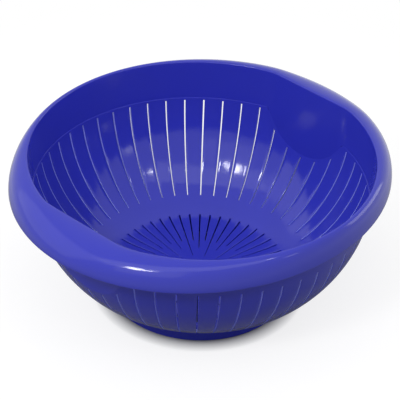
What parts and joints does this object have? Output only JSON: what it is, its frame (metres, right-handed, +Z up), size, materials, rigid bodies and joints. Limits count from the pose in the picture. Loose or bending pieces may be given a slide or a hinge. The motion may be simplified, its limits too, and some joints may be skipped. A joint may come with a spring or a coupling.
{
  "type": "colander",
  "caption": "Round plastic colander with a slotted bowl, a plain band, an oval rolled-over rim with finger handles, and a ring foot.",
  "frame": {"origin": "centre of the foot ring's resting plane", "axes": "+Z up out of the mouth, X through both handles, Y across the bowl"},
  "size_m": [0.2814, 0.254, 0.1135],
  "materials": {
    "violet_blue_plastic": "glossy moulded polypropylene, violet-blue all through"
  },
  "bodies": {
    "root": {"foot_ring": "violet_blue_plastic", "strainer_floor": "violet_blue_plastic", "wall_right": "violet_blue_plastic", "wall_back": "violet_blue_plastic", "wall_left": "violet_blue_plastic", "wall_front": "violet_blue_plastic", "upper_band": "violet_blue_plastic", "rim_front": "violet_blue_plastic", "rim_back": "violet_blue_plastic", "handle_right": "violet_blue_plastic", "handle_left": "violet_blue_plastic"}
  },
  "joints": []
}
